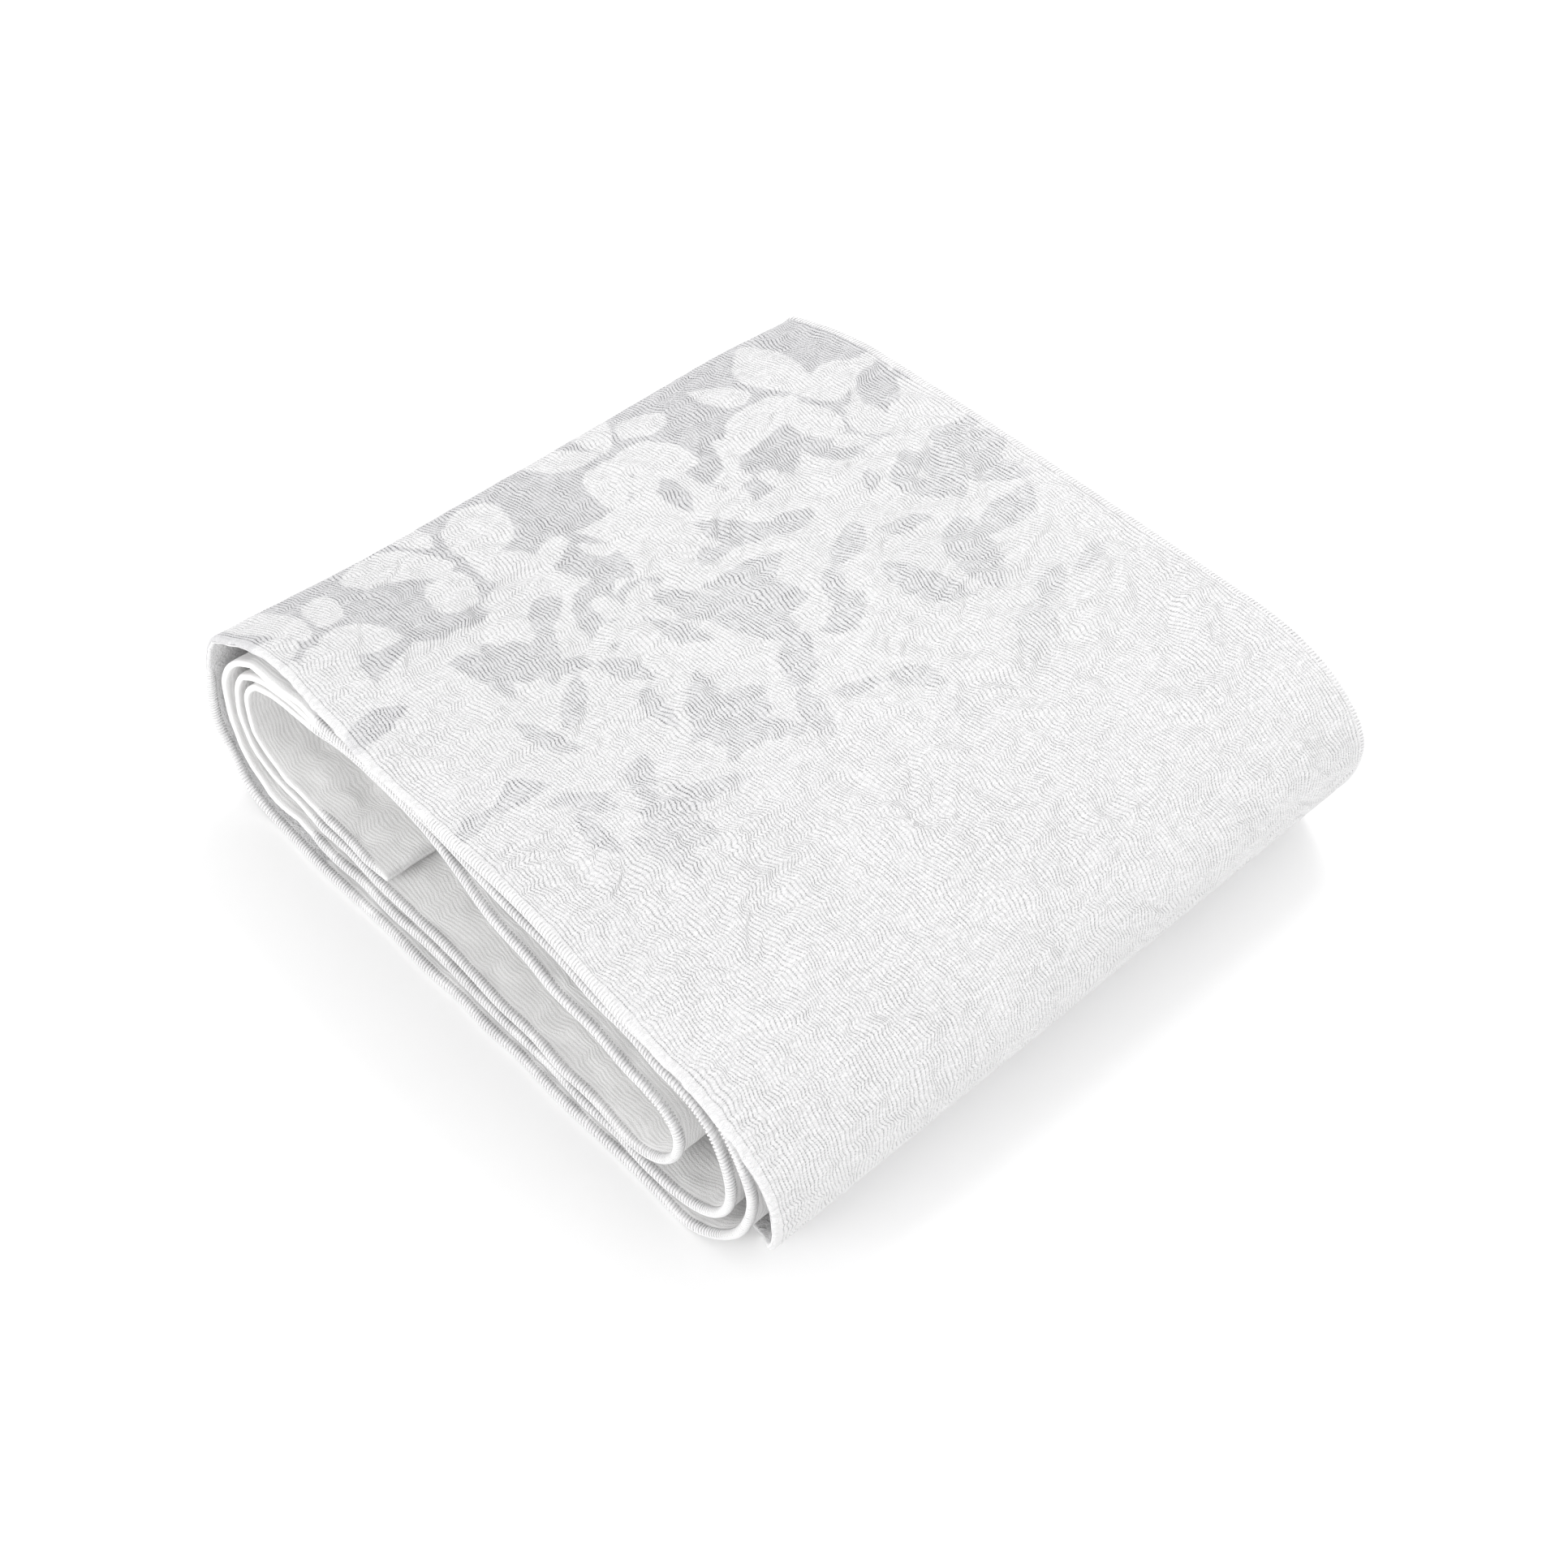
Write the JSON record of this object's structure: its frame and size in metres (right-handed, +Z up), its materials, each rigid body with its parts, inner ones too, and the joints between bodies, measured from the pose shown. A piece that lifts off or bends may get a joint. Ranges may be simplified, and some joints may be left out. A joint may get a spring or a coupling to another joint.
{
  "type": "folded lightweight duvet",
  "caption": "Thin crinkled white duvet folded over itself into a flat loose roll, with a sharp crease on one side, a round wrap on the other and overlocked edges at one end.",
  "frame": {"origin": "centre of the bounding box's base, on the surface that the roll lies on", "axes": "+X across the folds, from the sharp crease to the round wrap, +Y along the roll away from the overlocked edges, +Z up"},
  "size_m": [0.4224, 0.398, 0.1312],
  "materials": {
    "cloth": "matt white cotton jacquard with a crinkled surface and pale grey tone-on-tone figures"
  },
  "bodies": {
    "root": {"folded_duvet": "cloth"}
  },
  "joints": []
}
